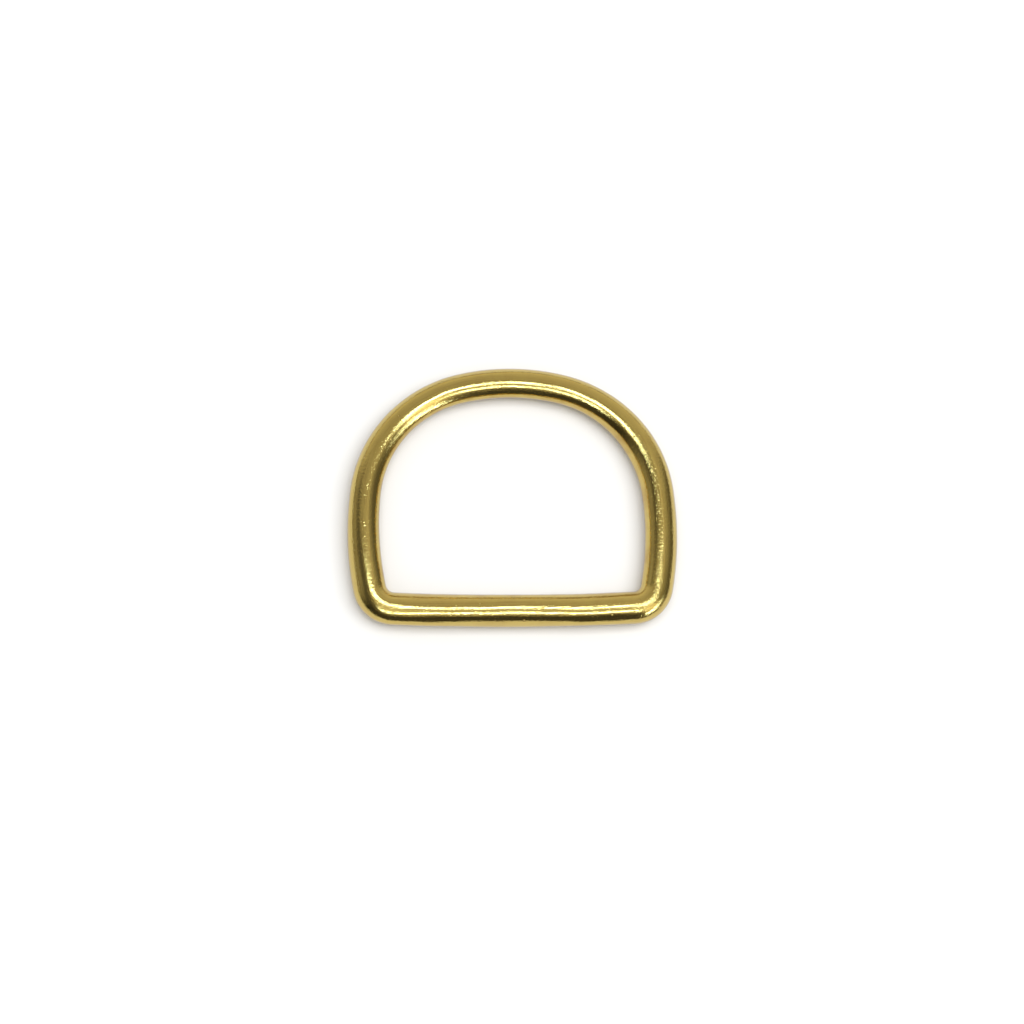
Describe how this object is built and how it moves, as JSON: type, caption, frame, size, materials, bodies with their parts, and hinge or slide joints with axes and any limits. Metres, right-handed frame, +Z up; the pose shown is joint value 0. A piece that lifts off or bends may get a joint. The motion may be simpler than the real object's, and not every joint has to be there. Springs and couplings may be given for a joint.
{
  "type": "d ring",
  "caption": "Solid cast brass D ring of round section, with a straight bar for a flat strap and an arched side for a hook or clip.",
  "frame": {"origin": "on the resting plane, under the centre of the outline's box", "axes": "+X along the straight bar, +Y from the bar towards the crown of the arch, +Z up, out of the plane of the ring"},
  "size_m": [0.0342, 0.0274, 0.0034],
  "materials": {
    "brass": "polished"
  },
  "bodies": {
    "root": {"ring": "brass"}
  },
  "joints": []
}
